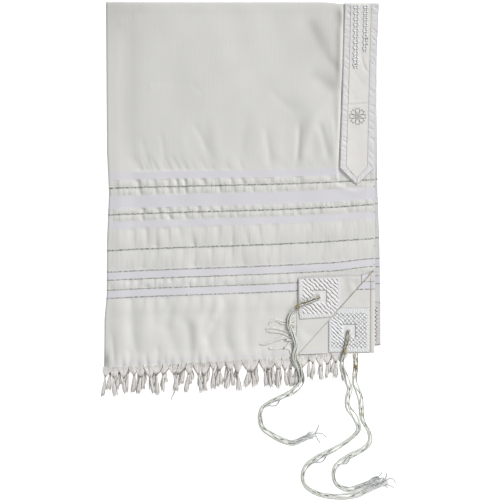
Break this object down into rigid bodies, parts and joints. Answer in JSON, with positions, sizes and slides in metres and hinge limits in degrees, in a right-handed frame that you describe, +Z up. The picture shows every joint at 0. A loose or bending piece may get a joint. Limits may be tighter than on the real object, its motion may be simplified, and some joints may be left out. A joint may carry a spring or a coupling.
{
  "type": "tallit prayer shawl, folded in quarters and laid flat",
  "caption": "Fringed wool prayer shawl folded in quarters, with a neckband, brocade corner patches and long corner tassels.",
  "frame": {"origin": "centre of the underside, in the plane that the folded shawl rests on, without the corner tassels", "axes": "+Y from the fringe to the crosswise fold, +X from the rolled fold to the neck edge, +Z up from the surface"},
  "size_m": [0.7127, 1.2439, 0.0196],
  "materials": {
    "wool_cloth": "off-white wool, woven, with satin bands and thin silver lines across its ends",
    "neckband_lining": "off-white cotton, plain weave",
    "neckband_twill": "cream twill with silver thread embroidery",
    "satin_ribbon": "cool white satin, softly glossy, puckered by its stitches",
    "patch_brocade": "silver-white brocade in diagonal ribs",
    "fringe_ends": "loose wool warp ends, knotted in bunches",
    "tassel_cord": "plied wool strands, undyed, faintly green-yellow"
  },
  "bodies": {
    "root": {"shawl_front_layer": "wool_cloth", "shawl_hidden_layers": "wool_cloth", "hem_second_layer": "wool_cloth", "neckband_lining": "neckband_lining", "neckband_centre": "neckband_twill", "neckband_ribbon_body": "satin_ribbon", "neckband_ribbon_edge": "satin_ribbon", "patch_turned_corner": "patch_brocade", "patch_second_layer": "patch_brocade", "patch_third_layer": "patch_brocade", "fringe_front_layer": "fringe_ends", "fringe_hidden_layers": "fringe_ends", "fringe_turned_corner": "fringe_ends", "tzitzit_turned_corner": "tassel_cord", "tzitzit_second_layer": "tassel_cord", "tzitzit_third_layer": "tassel_cord"}
  },
  "joints": []
}
